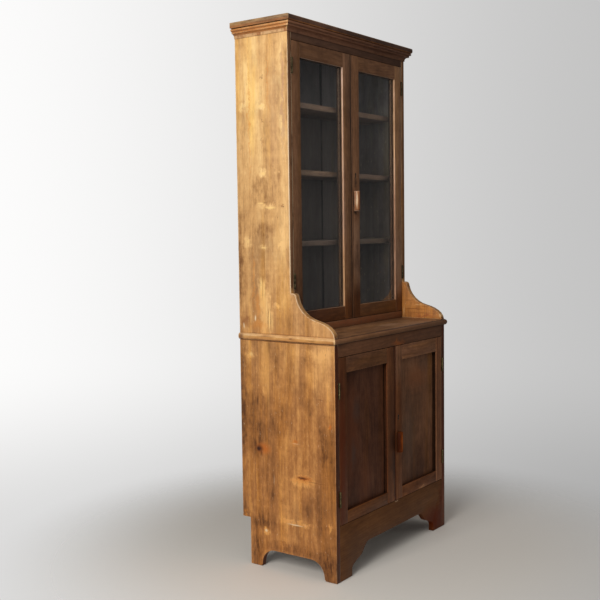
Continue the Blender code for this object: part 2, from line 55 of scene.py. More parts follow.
# A small helper that writes node trees
class Net:
    def __init__(self, name):
        self.mat = bpy.data.materials.new(name)
        self.mat.use_nodes = True
        self.tree = self.mat.node_tree
        self.shader = self.tree.nodes["Principled BSDF"]

    def node(self, kind, inputs=None, **props):
        n = self.tree.nodes.new(kind)
        for key, value in props.items():
            setattr(n, key, value)
        for key, value in (inputs or {}).items():
            self.put(n.inputs[key], value)
        return n

    def put(self, socket, value):
        if isinstance(value, bpy.types.NodeSocket):
            self.tree.links.new(value, socket)
        else:
            socket.default_value = value

    def math(self, op, a, b=0.0):
        return self.node("ShaderNodeMath", {0: a, 1: b}, operation=op).outputs[0]

    def vec(self, op, a, b=(0.0, 0.0, 0.0)):
        n = self.node("ShaderNodeVectorMath", {0: a, 1: b}, operation=op)
        return n.outputs["Value" if op in ("LENGTH", "DOT_PRODUCT") else "Vector"]

    def noise(self, at, scale=1.0, detail=3.0, rough=0.55):
        return self.node("ShaderNodeTexNoise", {"Vector": at, "Scale": scale, "Detail": detail,
                                                "Roughness": rough}).outputs["Fac"]

    def span(self, value, low, high, to_low=0.0, to_high=1.0):
        n = self.node("ShaderNodeMapRange", {"Value": value, "From Min": low, "From Max": high,
                                             "To Min": to_low, "To Max": to_high},
                      interpolation_type="SMOOTHSTEP")
        return n.outputs["Result"]

    def blend(self, share, a, b, kind="MIX"):
        n = self.node("ShaderNodeMix", data_type="RGBA", blend_type=kind)
        self.put(n.inputs["Factor"], share)
        self.put(n.inputs[6], a)
        self.put(n.inputs[7], b)
        return n.outputs[2]

    def wood_ramp(self, shade, finish):
        n = self.node("ShaderNodeValToRGB", {"Fac": shade})
        n.color_ramp.elements.new(0.5)
        for stop, position, colour in zip(n.color_ramp.elements, (0.08, 0.45, 0.92), finish):
            stop.position = position
            stop.color = colour
        return n.outputs["Color"]


# A face counts as facing a way between these two cosines
FACING_FROM, FACING_FULL = 0.62, 0.86
# A mark fades from nothing to full between these shares of its radii
MARK_RIM, MARK_CORE = 1.3, 0.2
# How far stains and fine cuts wander from their given shape
WANDER, FINE_WANDER = 0.06, 0.006


# Where a finish lies: each of these gives a mask from a place or from the way a face looks
def past(axis, start, full):
    return lambda net, axes: net.span(axes[axis], start, full)


def facing(x, y, z):
    def mask(net, axes):
        looks = net.node("ShaderNodeNewGeometry").outputs["Normal"]
        return net.span(net.vec("DOT_PRODUCT", looks, (x, y, z)), FACING_FROM, FACING_FULL)
    return mask


def both(*masks):
    def mask(net, axes):
        total = masks[0](net, axes)
        for other in masks[1:]:
            total = net.math("MULTIPLY", total, other(net, axes))
        return total
    return mask


def without(first, second):
    def mask(net, axes):
        return net.math("MULTIPLY", first(net, axes), net.math("SUBTRACT", 1.0, second(net, axes)))
    return mask


def marks(net, at, spots):
    """Soft-edged stains, painted shade and highlights: each spot is its centre, its radii and its strength.
    """
    total = None
    for (u, v), (ru, rv), strength in spots:
        near = net.node("ShaderNodeVectorMath", {0: at, 1: (1 / ru, 1 / rv, 0.0), 2: (-u / ru, -v / rv, 0.0)},
                        operation="MULTIPLY_ADD").outputs[0]
        share = net.span(net.vec("LENGTH", near), MARK_RIM, MARK_CORE, 0.0, strength)
        total = share if total is None else net.math("MAXIMUM", total, share)
    return total


def pine(name, along, across, finish, seed, zones=(), pale=(), soiled=(), stains_and_shadows=(), cuts_and_painted_light=(), boards=(),
         ring=0.4, streak=0.6, mottle=0.7, flecks=0.65, hue=0.5, knots=0.0, rough=0.46, wear=0.5, dirt_and_shade=0.6,
         crease=0.03, worn=None, wear_at=None, gloss=0.30):
    """Aged pine: growth rings, fibres, knots, patina, dirt and painted shade in the corners and pale worn
    edges.
    """
    net = Net(name)
    place = net.node("ShaderNodeTexCoord").outputs["Object"]
    axes = dict(zip("xyz", net.node("ShaderNodeSeparateXYZ", {0: place}).outputs))
    thick = next(a for a in "xyz" if a not in (along, across))
    board = net.node("ShaderNodeCombineXYZ", {0: axes[across], 1: axes[thick], 2: axes[along]}).outputs[0]
    board = net.vec("ADD", board, (seed * 1.37 % 5.0, seed * 2.11 % 3.0, seed * 3.73 % 7.0))
    for edge in boards:
        over = net.math("GREATER_THAN", axes[across], edge)
        jump = net.node("ShaderNodeCombineXYZ", {0: net.math("MULTIPLY", over, 0.71),
                                                 2: net.math("MULTIPLY", over, 1.93)}).outputs[0]
        board = net.vec("ADD", board, jump)

    def grain(wide, long, detail=3.0, harsh=0.55):
        return net.noise(net.vec("MULTIPLY", board, (wide, wide, long)), 1.0, detail, harsh)

    # Knots sit in stretched cells and bend the rings round them
    stretched = net.vec("MULTIPLY", board, (5.2, 5.2, 1.9))
    cells = net.node("ShaderNodeTexVoronoi", {"Vector": stretched, "Scale": 1.0}, feature="F1")
    cells = cells.outputs["Distance"]
    knot = net.span(cells, 0.10, 0.03)
    bend = net.span(cells, 0.42, 0.0)

    # Growth rings are contours of a field drawn out along the board
    width = net.node("ShaderNodeSeparateXYZ", {0: board}).outputs[0]
    drift = net.math("MULTIPLY", grain(3.2, 0.42, 2.0), 30.0)
    field = net.math("ADD", net.math("MULTIPLY", width, 46.0), drift)
    field = net.math("ADD", field, net.math("MULTIPLY", grain(16.0, 1.3), 2.6))
    field = net.math("ADD", field, net.math("MULTIPLY", bend, 3.0 * knots))
    rings = net.math("FRACT", field)
    late = net.math("MULTIPLY", net.span(rings, 0.15, 0.86), net.span(rings, 1.0, 0.90))
    fibre = grain(420.0, 9.0, 2.0, 0.6)
    lines = grain(45.0, 0.9, 5.0, 0.62)
    bands = grain(16.0, 0.35, 2.0, 0.5)
    cloud = grain(6.0, 3.0, 6.0, 0.62)
    blotch = grain(34.0, 14.0, 5.0, 0.70)
    fleck = grain(150.0, 36.0, 3.0, 0.65)
    chatter = grain(4.0, 90.0, 4.0, 0.62)
    soil = net.span(grain(10.0, 7.0, 5.0, 0.68), 0.54, 0.74)

    # One value from bleached to dark carries rings, streaks, patina and patches
    def shift(value, centre, gain):
        return net.math("MULTIPLY", net.math("SUBTRACT", value, centre), gain)

    shade = net.math("ADD", shift(late, 0.35, 0.22 * ring), 0.43)
    for value, gain in ((lines, 0.85 * streak), (bands, 0.75 * streak), (fibre, 0.25), (cloud, 1.25 * mottle),
                        (blotch, 0.95 * mottle), (fleck, flecks * mottle), (chatter, 0.18 * mottle)):
        shade = net.math("ADD", shade, shift(value, 0.5, gain))
    shade = net.math("ADD", shade, net.math("MULTIPLY", soil, 0.20 * mottle))

    # Listed patches flake off in bits, and marks wander from their given shape
    flake = net.math("ADD", shift(net.span(grain(80.0, 20.0, 4.0, 0.72), 0.38, 0.62), 0.0, 0.7), 0.3)
    first, second = (a for a in "xyz" if a != thick)
    rub = net.noise(place, 34.0, 6.0, 0.72)
    sway = net.noise(net.vec("ADD", place, (7.0, 3.0, 5.0)), 34.0, 6.0, 0.72)

    def spread(amount):
        u = net.math("ADD", axes[first], shift(rub, 0.5, amount))
        v = net.math("ADD", axes[second], shift(sway, 0.5, amount * 1.25))
        return net.node("ShaderNodeCombineXYZ", {0: u, 1: v}).outputs[0]

    loose, fine = spread(WANDER), spread(FINE_WANDER)
    for group, gain in ((pale, -0.85), (soiled, 0.75)):
        if group:
            patch = net.math("MULTIPLY", marks(net, loose, group), flake)
            shade = net.math("ADD", shade, net.math("MULTIPLY", patch, gain))

    # Finishes by zone, golden and greyed patches, then stains, cuts, painted shade and highlights, specks,
    # nicks and knots
    colour = net.wood_ramp(shade, finish)
    for mask, other in zones:
        colour = net.blend(mask(net, axes), colour, net.wood_ramp(shade, other))
    golden = net.math("MULTIPLY", net.span(grain(14.0, 1.1, 4.0, 0.6), 0.48, 0.66), hue)
    colour = net.blend(golden, colour, (1.06, 0.98, 0.66, 1.0), "MULTIPLY")
    greyed = net.math("MULTIPLY", net.span(grain(8.0, 3.6, 5.0, 0.66), 0.50, 0.68), hue)
    colour = net.blend(greyed, colour, (0.74, 0.74, 0.79, 1.0), "MULTIPLY")
    for at, groups in ((loose, stains_and_shadows), (fine, cuts_and_painted_light)):
        for mark_colour, group in groups:
            colour = net.blend(marks(net, at, group), colour, mark_colour)
    speck = net.span(grain(110.0, 60.0, 2.0, 0.5), 0.68, 0.80)
    colour = net.blend(net.math("MULTIPLY", speck, 0.5 * mottle), colour, finish[2])
    nick = net.span(grain(230.0, 70.0, 3.0, 0.6), 0.66, 0.74)
    colour = net.blend(net.math("MULTIPLY", nick, 0.45 * mottle), colour, worn or finish[0])
    heart = net.blend(0.5, finish[2], tone(50, 26, 14))
    colour = net.blend(net.math("MULTIPLY", knot, min(1.0, knots)), colour, heart)

    # Dirt and painted shade gather in corners and grooves, and edges rub pale
    def shut_in(reach, **more):
        free = net.node("ShaderNodeAmbientOcclusion", {"Distance": reach}, samples=8, **more).outputs["AO"]
        return net.math("SUBTRACT", 1.0, free)

    corner = net.span(shut_in(crease), 0.30, 0.9)
    colour = net.blend(net.math("MULTIPLY", corner, dirt_and_shade), colour, tone(34, 20, 12))
    groove = net.span(shut_in(0.005), 0.40, 0.85)
    colour = net.blend(net.math("MULTIPLY", groove, 0.85), colour, tone(20, 12, 8))
    edge = net.span(shut_in(0.006, inside=True, only_local=True), 0.08, 0.34)
    patchy = net.noise(net.vec("MULTIPLY", place, (34.0, 34.0, 12.0)), 1.0, 4.0, 0.65)
    rubbed = net.math("MULTIPLY", edge, net.span(patchy, 0.34, 0.58))
    if wear_at:
        rubbed = net.math("MULTIPLY", rubbed, wear_at(net, axes))
    colour = net.blend(net.math("MULTIPLY", rubbed, wear), colour, worn or finish[0])
    net.put(net.shader.inputs["Base Color"], colour)

    # Wax shines a little more where it is clean
    dull = net.math("ADD", net.math("MULTIPLY", soil, 0.14), net.math("MULTIPLY", fibre, 0.14))
    net.put(net.shader.inputs["Roughness"], net.math("ADD", dull, rough - 0.09))
    net.shader.inputs["Specular IOR Level"].default_value = gloss

    # Ring ridges, fibres, pits and the slow hollows of hand-planed boards
    relief = net.math("ADD", net.math("MULTIPLY", late, 0.22), net.math("MULTIPLY", fibre, 0.20))
    relief = net.math("ADD", relief, net.math("MULTIPLY", grain(14.0, 7.0, 3.0, 0.5), 1.5))
    relief = net.math("SUBTRACT", relief, net.math("MULTIPLY", speck, 0.5))
    bump = net.node("ShaderNodeBump", {"Height": relief, "Strength": 0.35, "Distance": 0.0012})
    net.put(net.shader.inputs["Normal"], bump.outputs[0])
    return net.mat


def metal(name, bright, dull, dark, rough, seed):
    """Old metal: bright where it is rubbed, dull and spotted elsewhere."""
    net = Net(name)
    place = net.node("ShaderNodeTexCoord").outputs["Object"]
    moved = net.vec("ADD", place, (seed * 0.37, seed * 0.91, seed * 0.53))
    cloud = net.noise(moved, 90.0, 4.0, 0.6)
    spot = net.noise(moved, 420.0, 3.0, 0.6)
    colour = net.blend(net.span(cloud, 0.35, 0.65), bright, dull)
    colour = net.blend(net.span(spot, 0.52, 0.70), colour, dark)
    net.put(net.shader.inputs["Base Color"], colour)
    net.shader.inputs["Metallic"].default_value = 1.0
    net.put(net.shader.inputs["Roughness"], net.span(spot, 0.2, 0.8, rough - 0.08, rough + 0.2))
    bump = net.node("ShaderNodeBump", {"Height": spot, "Strength": 0.25, "Distance": 0.0003})
    net.put(net.shader.inputs["Normal"], bump.outputs[0])
    return net.mat


def old_glass(name, seed):
    """Drawn window glass, a little wavy."""
    net = Net(name)
    place = net.node("ShaderNodeTexCoord").outputs["Object"]
    moved = net.vec("ADD", place, (seed, seed * 2.0, seed * 3.0))
    wave = net.noise(net.vec("MULTIPLY", moved, (5.0, 5.0, 2.2)), 1.0, 2.0, 0.4)
    bump = net.node("ShaderNodeBump", {"Height": wave, "Strength": 0.10, "Distance": 0.004})
    net.put(net.shader.inputs["Normal"], bump.outputs[0])
    net.shader.inputs["Base Color"].default_value = (0.912, 0.926, 0.936, 1.0)
    net.shader.inputs["Roughness"].default_value = 0.0
    net.shader.inputs["IOR"].default_value = 1.5
    net.shader.inputs["Transmission Weight"].default_value = 1.0
    return net.mat


# Softened edges: weld, merge flat faces, round the arrises, then smooth gentle curves
def smooth_group():
    group = bpy.data.node_groups.new("smooth_by_angle", "GeometryNodeTree")
    group.interface.new_socket("Geometry", in_out="INPUT", socket_type="NodeSocketGeometry")
    group.interface.new_socket("Geometry", in_out="OUTPUT", socket_type="NodeSocketGeometry")
    start = group.nodes.new("NodeGroupInput")
    end = group.nodes.new("NodeGroupOutput")
    faces = group.nodes.new("GeometryNodeSetShadeSmooth")
    edges = group.nodes.new("GeometryNodeSetShadeSmooth")
    edges.domain = "EDGE"
    angle = group.nodes.new("GeometryNodeInputMeshEdgeAngle")
    gentle = group.nodes.new("FunctionNodeCompare")
    gentle.operation = "LESS_EQUAL"
    gentle.inputs[1].default_value = math.radians(34)
    link = group.links.new
    link(start.outputs[0], faces.inputs["Geometry"])
    link(faces.outputs[0], edges.inputs["Geometry"])
    link(angle.outputs["Unsigned Angle"], gentle.inputs[0])
    link(gentle.outputs[0], edges.inputs["Shade Smooth"])
    link(edges.outputs[0], end.inputs[0])
    return group


SMOOTH = smooth_group()


def soften(ob, width):
    weld = ob.modifiers.new("weld", "WELD")
    weld.merge_threshold = 0.00001
    flat = ob.modifiers.new("flat", "DECIMATE")
    flat.decimate_type = "DISSOLVE"
    flat.angle_limit = math.radians(0.5)
    if width:
        bevel = ob.modifiers.new("arris", "BEVEL")
        bevel.width = width
        bevel.segments = 2
        bevel.limit_method = "ANGLE"
        bevel.angle_limit = math.radians(40)
    ob.modifiers.new("smooth", "NODES").node_group = SMOOTH


def dress(node, material, width=0.0012):
    ob = NODES[node]
    ob.data.materials.clear()
    ob.data.materials.append(material)
    soften(ob, width)


# Finishes of the boards and colours for painted light and shade, each from bleached through middling to dark
HONEY = (tone(255, 216, 152), tone(226, 179, 120), tone(146, 100, 58))
AMBER = (tone(232, 168, 98), tone(178, 119, 67), tone(94, 56, 30))
BEAD = (tone(232, 178, 110), tone(200, 140, 77), tone(124, 76, 40))
# The bead's upper part is paler as a painted highlight
BEAD_HIGHLIGHT = (tone(250, 212, 160), tone(224, 174, 116), tone(140, 90, 50))
BROWN = (tone(156, 112, 80), tone(128, 89, 61), tone(82, 54, 36))
DARK_BROWN = (tone(143, 102, 73), tone(116, 80, 55), tone(74, 49, 33))
ASH_BROWN = (tone(160, 119, 91), tone(131, 94, 69), tone(84, 58, 41))
LIGHT_BROWN = (tone(182, 140, 109), tone(151, 113, 87), tone(100, 71, 53))
RUSSET = (tone(146, 94, 58), tone(117, 72, 44), tone(74, 43, 26))
RUSSET_L = (tone(134, 84, 52), tone(107, 65, 40), tone(68, 39, 23))
RUSSET_R = (tone(174, 123, 90), tone(140, 97, 71), tone(90, 60, 43))
RUSSET_PALE = (tone(188, 128, 89), tone(152, 101, 70), tone(98, 62, 42))
FRIEZE = (tone(148, 102, 72), tone(119, 80, 56), tone(76, 49, 34))
# The case's top rail is darker as painted shade under the cornice
TOP_RAIL_SHADE = (tone(112, 80, 62), tone(88, 62, 48), tone(58, 40, 30))
TOP_EDGE = (tone(102, 70, 53), tone(80, 54, 41), tone(53, 35, 26))
FASCIA = (tone(146, 101, 74), tone(117, 78, 57), tone(75, 50, 36))
PLINTH = (tone(132, 88, 53), tone(104, 67, 39), tone(65, 40, 23))
DEEP = (tone(126, 80, 48), tone(99, 60, 35), tone(62, 36, 21))
PANEL_L = (tone(112, 72, 51), tone(87, 53, 37), tone(54, 33, 23))
PANEL_R = (tone(158, 112, 82), tone(127, 88, 63), tone(83, 57, 41))
PANEL_LOW = (tone(142, 98, 71), tone(114, 76, 54), tone(73, 48, 34))
INSIDE = (tone(121, 111, 104), tone(103, 94, 88), tone(77, 69, 64))
INSIDE_TOP = (tone(154, 147, 143), tone(132, 126, 123), tone(100, 94, 91))
OUTBACK = (tone(176, 146, 110), tone(146, 116, 84), tone(100, 76, 54))
SHELF_EDGE = (tone(158, 130, 108), tone(138, 111, 91), tone(104, 82, 66))
SHELF_LOW = (tone(132, 110, 93), tone(114, 94, 79), tone(84, 68, 56))
SHELF_UNDER = (tone(148, 124, 110), tone(126, 103, 90), tone(94, 75, 64))
COUNTER = (tone(168, 124, 86), tone(135, 95, 64), tone(87, 57, 37))
TOP = (tone(206, 174, 136), tone(172, 137, 99), tone(108, 81, 56))
REVEAL = (tone(246, 216, 198), tone(228, 188, 162), tone(172, 126, 100))
REVEAL_WARM = (tone(222, 180, 152), tone(198, 150, 120), tone(148, 102, 76))
# Dark lines along the top and bottom of the waist bead are painted shadow
BEAD_SHADOW_LINE = (tone(78, 48, 28), tone(58, 35, 21), tone(40, 24, 15))
# The deeper wall of the glazed openings is darker as painted shade
GLASS_DEPTH_SHADE = (tone(104, 82, 66), tone(84, 64, 50), tone(58, 43, 33))
# The slit between the doors and the reveal of the shaded stile are dark as painted shade
GAP_SHADE = (tone(54, 34, 22), tone(42, 25, 16), tone(30, 18, 12))
CORNICE = (tone(222, 158, 94), tone(192, 127, 70), tone(120, 72, 38))
COVE = (tone(184, 124, 74), tone(156, 100, 57), tone(98, 58, 32))
# The deep part of the panel reveals is dark as painted shadow
RECESS_SHADOW = (tone(84, 46, 28), tone(54, 30, 19), tone(36, 20, 13))
# The outer rim of the panel reveals is orange as painted light
LIT_RIM = (tone(144, 80, 39), tone(120, 61, 28), tone(86, 44, 21))
RED_EDGE = (tone(120, 62, 34), tone(96, 48, 25), tone(60, 30, 17))
WHITENED = (tone(255, 240, 218), tone(250, 228, 198), tone(196, 160, 122))
RUBBED = (tone(246, 186, 122), tone(218, 150, 88), tone(140, 80, 42))
BRACKET = (tone(226, 160, 88), tone(196, 130, 66), tone(124, 72, 36))
PULL = (tone(196, 142, 100), tone(162, 106, 70), tone(100, 58, 38))
PULL_DARK = (tone(134, 66, 26), tone(98, 44, 15), tone(56, 24, 10))
# Pull undersides are dark as painted shade
UNDERSIDE_SHADE = (tone(70, 42, 30), tone(48, 28, 20), tone(34, 20, 14))
# Glazing beads behind the glass are dark as painted shade
GLAZING_BEAD_SHADE = (tone(62, 50, 42), tone(47, 37, 30), tone(32, 25, 20))
PALE_EDGE = tone(236, 206, 168)


def on_side(rows):
    """Side marks as distance from the back plane in mm, height, radii and strength."""
    return [((BACK_Y - d / 1000, z), (rd / 1000, rz), s) for d, z, rd, rz, s in rows]


# Marks of the left side, as they lie in the photo
side_pale = on_side([
    (30, 1.700, 16, 0.014, 0.70), (115, 1.695, 20, 0.016, 0.80), (120, 1.458, 20, 0.020, 0.80),
    (185, 1.460, 12, 0.010, 0.45), (135, 1.338, 44, 0.012, 0.70), (118, 1.190, 24, 0.014, 0.70),
    (200, 1.195, 14, 0.012, 0.50), (42, 1.205, 24, 0.020, 0.65), (108, 1.045, 24, 0.046, 0.85),
    (128, 0.950, 26, 0.090, 0.90), (172, 0.978, 20, 0.013, 0.70), (350, 0.812, 80, 0.028, 0.40),
    (48, 0.790, 28, 0.010, 0.60), (112, 0.664, 13, 0.022, 0.45), (272, 0.348, 58, 0.024, 0.65),
    (255, 0.190, 64, 0.010, 0.75), (110, 0.135, 18, 0.016, 0.95), (398, 0.195, 12, 0.016, 0.60),
    (40, 1.800, 30, 0.110, 0.35), (205, 1.750, 22, 0.200, 0.35)])
side_soiled = on_side([
    (118, 1.255, 60, 0.034, 0.45), (110, 1.390, 110, 0.090, 0.30), (78, 0.620, 58, 0.055, 0.45),
    (62, 0.500, 66, 0.120, 0.40), (380, 0.470, 34, 0.110, 0.40), (14, 0.600, 24, 0.360, 0.50),
    (12, 1.150, 16, 0.250, 0.45), (240, 0.085, 170, 0.026, 0.50), (66, 0.060, 40, 0.070, 0.50),
    (395, 0.050, 40, 0.070, 0.50), (90, 0.170, 80, 0.060, 0.55), (110, 0.330, 95, 0.120, 0.26),
    (190, 0.560, 70, 0.070, 0.30)])
side_stains = [
    (tone(224, 146, 68), on_side([
        (275, 0.352, 48, 0.012, 0.60), (243, 0.486, 18, 0.012, 0.50), (402, 0.560, 7, 0.012, 0.70),
        (90, 0.905, 40, 0.024, 0.45), (86, 0.970, 10, 0.060, 0.45), (60, 1.650, 3, 0.300, 0.55),
        (148, 1.780, 3, 0.160, 0.45), (70, 1.070, 5, 0.120, 0.40), (16, 0.180, 8, 0.030, 0.60)])),
    (tone(126, 64, 30), on_side([
        (284, 0.357, 34, 0.0045, 0.95), (30, 0.915, 24, 0.032, 0.55), (120, 1.790, 6, 0.005, 0.65),
        (124, 1.640, 7, 0.005, 0.55), (205, 1.335, 7, 0.004, 0.65), (120, 1.560, 4, 0.040, 0.30)])),
    (tone(196, 150, 116), on_side([
        (214, 1.720, 7, 0.240, 0.7), (168, 1.640, 34, 0.300, 0.25)])),
]
side_cuts = [
    (tone(246, 182, 104), on_side([
        (124, 0.765, 17, 0.150, 0.45), (130, 0.725, 6, 0.130, 0.50), (116, 0.800, 7, 0.070, 0.42)])),
    (tone(255, 214, 142), on_side([
        (108, 1.349, 15, 0.0035, 0.85), (154, 1.332, 24, 0.0055, 0.90), (140, 0.930, 4, 0.050, 0.85),
        (128, 0.955, 3, 0.060, 0.60), (152, 0.920, 3, 0.036, 0.60), (104, 1.055, 6, 0.028, 0.80),
        (118, 1.030, 4, 0.040, 0.65), (116, 1.698, 9, 0.006, 0.80), (122, 1.455, 12, 0.007, 0.80),
        (46, 1.212, 7, 0.009, 0.60), (52, 0.796, 9, 0.009, 0.55), (120, 1.188, 14, 0.0035, 0.70)])),
    (tone(246, 222, 184), on_side([
        (150, 0.335, 1.2, 0.020, 0.45), (252, 0.482, 18, 0.0014, 0.4), (245, 0.182, 36, 0.0024, 0.9),
        (75, 0.930, 4, 0.012, 0.9), (20, 0.900, 3, 0.012, 0.9), (110, 0.138, 8, 0.006, 0.8)])),
    (tone(122, 76, 42), on_side([
        (134, 0.940, 1.8, 0.050, 0.6), (146, 0.930, 1.5, 0.040, 0.6), (111, 1.030, 1.6, 0.040, 0.5),
        (128, 1.350, 10, 0.003, 0.5), (245, 0.500, 1.4, 0.016, 0.6), (340, 0.350, 50, 0.0014, 0.7),
        # The two long thin lines at the height of the bead are painted shadow above and below it
        (210, 1.334, 5, 0.002, 0.9), (212, 0.8752, 320, 0.0020, 0.5), (212, 0.8468, 320, 0.0020, 0.9)])),
    (tone(196, 110, 46), on_side([
        (102, 0.447, 36, 0.024, 0.85), (250, 0.490, 12, 0.007, 0.7), (402, 0.560, 7, 0.011, 0.8),
        (286, 0.360, 36, 0.011, 0.7)])),
    (tone(74, 35, 17), on_side([
        (84, 0.445, 20, 0.015, 0.90), (93, 0.433, 6, 0.020, 0.6), (278, 0.360, 24, 0.0055, 0.85),
        (360, 0.652, 16, 0.0015, 0.6)])),
    (tone(40, 20, 11), on_side([
        (80, 0.444, 9, 0.008, 0.85)])),
]

# Marks of the bead and of the inside of the right bracket
bead_cuts = [
    (tone(112, 64, 32), on_side([
        (12, 0.861, 16, 0.014, 0.8), (240, 0.863, 8, 0.0035, 0.7), (330, 0.860, 22, 0.0020, 0.5),
        (120, 0.866, 30, 0.0018, 0.5), (428, 0.857, 12, 0.008, 0.5)])),
]
bracket_cuts = [
    (tone(128, 70, 30), on_side([
        (300, 0.912, 60, 0.0024, 0.7), (330, 0.896, 70, 0.0020, 0.6), (268, 0.948, 26, 0.0022, 0.55),
        (262, 1.000, 2, 0.050, 0.5), (352, 0.925, 40, 0.0018, 0.5)])),
    (tone(240, 196, 138), on_side([
        (418, 0.892, 6, 0.012, 0.7), (402, 0.918, 10, 0.006, 0.6), (370, 0.938, 14, 0.004, 0.6),
        (246, 0.900, 4, 0.024, 0.45), (318, 0.930, 22, 0.003, 0.4)])),
]
bracket_stains = [(tone(150, 72, 34), [((-0.12, 0.884), (0.05, 0.006), 0.6)])]

# Sides: paler above, browner below, stained on the front edge and dark inside
FRONT, REAR, BELOW = facing(0, -1, 0), facing(0, 1, 0), facing(0, 0, -1)
over_counter = both(past("z", 0.853, 0.863), past("y", -0.010, -0.016))
side_args = dict(boards=[BACK_Y - 0.124], ring=0.25, streak=0.76, mottle=0.88, flecks=0.28, hue=0.8, dirt_and_shade=0.5,
                 worn=PALE_EDGE, gloss=0.18,
                 wear_at=lambda net, axes: net.span(axes["z"], 0.82, 0.89, 0.12, 1.0))
side_more = {
    "side_left": dict(pale=side_pale, soiled=side_soiled, stains_and_shadows=side_stains, cuts_and_painted_light=side_cuts, wear=0.95),
    "side_right": dict(stains_and_shadows=bracket_stains, cuts_and_painted_light=bracket_cuts, knots=0.7, wear=0.25),
}
for node, seed, inward in (("side_left", 3.1, 1), ("side_right", 8.6, -1)):
    outside, inside = facing(-inward, 0, 0), facing(inward, 0, 0)
    high_arris = both(outside, past("y", -0.0130, -0.0156), past("z", 1.01, 1.06), past("z", 1.82, 1.66))
    low_arris = both(outside, past("y", -0.1990, -0.2018), past("z", 0.84, 0.78), past("z", 0.10, 0.20))
    zones = [(past("z", 1.72, 0.42), AMBER), (low_arris, RUBBED), (high_arris, WHITENED),
             (both(FRONT, past("z", 1.03, 1.05)), BROWN), (both(FRONT, past("z", 0.90, 0.86)), RED_EDGE),
             (without(inside, over_counter), INSIDE), (both(inside, over_counter), BRACKET), (REAR, TOP)]
    if node == "side_right":
        zones.append((both(inside, past("z", 1.40, 1.80)), INSIDE_TOP))
    dress(node, pine(node + "_pine", "z", "y", HONEY, seed, zones=zones, **side_args, **side_more[node]),
          0.0016)

# Waist bead, cornice and top board
# The waist bead carries painted light and shade: a highlight on its upper part, shade on its lower part and
# shadow lines along its top and bottom
bead_shadow_lines = [(past("z", 0.8690, 0.8708), BEAD_SHADOW_LINE), (past("z", 0.8530, 0.8512), BEAD_SHADOW_LINE)]
bead_zones = [(past("z", 0.860, 0.853), AMBER), (past("z", 0.8625, 0.8660), BEAD_HIGHLIGHT), bead_shadow_lines[1]]
bead_look = dict(zones=bead_zones, cuts_and_painted_light=bead_cuts)
cornice_look = dict(zones=[(past("z", 1.962, 1.954), COVE)])
for node, seed, coat, look in (
        ("waist_bead_left", 1.3, BEAD, bead_look), ("waist_bead_right", 2.4, BEAD, bead_look),
        ("cornice_left", 4.4, CORNICE, cornice_look), ("cornice_right", 5.9, CORNICE, cornice_look)):
    dress(node, pine(node + "_pine", "y", "z", coat, seed, mottle=0.9, wear=0.7, dirt_and_shade=0.95, crease=0.012,
                     worn=tone(236, 196, 144), **look), 0.0008)
for node, seed, coat, zones in (("waist_bead_front", 1.9, BROWN, bead_shadow_lines),
                                ("cornice_front", 4.8, FASCIA, [])):
    dress(node, pine(node + "_pine", "x", "z", coat, seed, zones=zones, wear=0.35, dirt_and_shade=0.9, crease=0.012,
                     gloss=0.2), 0.0008)
top_zones = [(past("z", 1.994, 1.983), COVE), (FRONT, TOP_EDGE)]
dress("top_board", pine("top_board_pine", "y", "x", TOP, 6.2, zones=top_zones, knots=0.6, rough=0.62,
                        streak=1.0, mottle=1.0, wear=0.4, worn=tone(176, 146, 112)), 0.0016)

# Front rails: the foot on the right and the meeting of the doors have rubbed orange
rail_marks = {
    "frieze_rail": [(tone(172, 98, 48), [((0.030, 0.812), (0.05, 0.014), 0.75)])],
    "upper_sill": [(tone(150, 86, 52), [((0.0, 0.890), (0.36, 0.012), 0.5)])],
    "top_rail": [],
    "front_plinth": [
        (tone(92, 34, 4), [((0.340, 0.045), (0.170, 0.075), 1.0), ((0.390, 0.090), (0.040, 0.120), 0.9)]),
        (tone(206, 170, 138), [((0.012, 0.198), (0.016, 0.004), 0.8)])],
}
# The top rail under the cornice has a darker coat, as painted shade
for node, seed, coat, gloss in (("frieze_rail", 2.2, FRIEZE, 0.13), ("upper_sill", 3.3, FRIEZE, 0.13),
                                ("top_rail", 4.1, TOP_RAIL_SHADE, 0.13), ("front_plinth", 5.5, PLINTH, 0.08)):
    dress(node, pine(node + "_pine", "x", "z", coat, seed, stains_and_shadows=rail_marks[node], ring=0.4, streak=0.4,
                     mottle=0.5, wear=0.3, dirt_and_shade=0.35, gloss=gloss))

# Counter, shelves and back
counter_marks = [
    (tone(40, 24, 15), [((0.0, -0.2012), (0.50, 0.0022), 0.85)]),
    (tone(172, 136, 108), [((0.10, -0.12), (0.09, 0.03), 0.5), ((0.26, -0.10), (0.05, 0.02), 0.4)]),
    (tone(74, 45, 28), [((-0.25, -0.03), (0.16, 0.012), 0.6), ((0.05, -0.165), (0.14, 0.012), 0.4)])]
dress("counter_board", pine("counter_pine", "x", "y", COUNTER, 7.7, stains_and_shadows=counter_marks, ring=0.8, knots=0.4,
                            mottle=0.9, wear=0.3, dirt_and_shade=0.8))
for k, node in enumerate(("bottom_board", "lower_shelf", "upper_shelf_low", "upper_shelf_middle",
                          "upper_shelf_high")):
    edge = SHELF_LOW if node == "upper_shelf_low" else SHELF_EDGE
    zones = [(FRONT, edge), (BELOW, SHELF_UNDER)] if node.startswith("upper") else []
    dress(node, pine(node + "_pine", "x", "y", INSIDE, 10.0 + k * 1.7, zones=zones, knots=0.4, rough=0.6,
                     wear=0.3, dirt_and_shade=0.6))
left_joint, right_joint = -0.140352, 0.120768
back_zones = [(past("z", 1.68, 1.76), INSIDE_TOP), (REAR, OUTBACK)]
nails = [((x, z), (0.004, 0.004), 0.9)
         for z in (0.512, 0.864, 1.2, 1.462, 1.71) for x in (-0.27, -0.02, 0.25)]
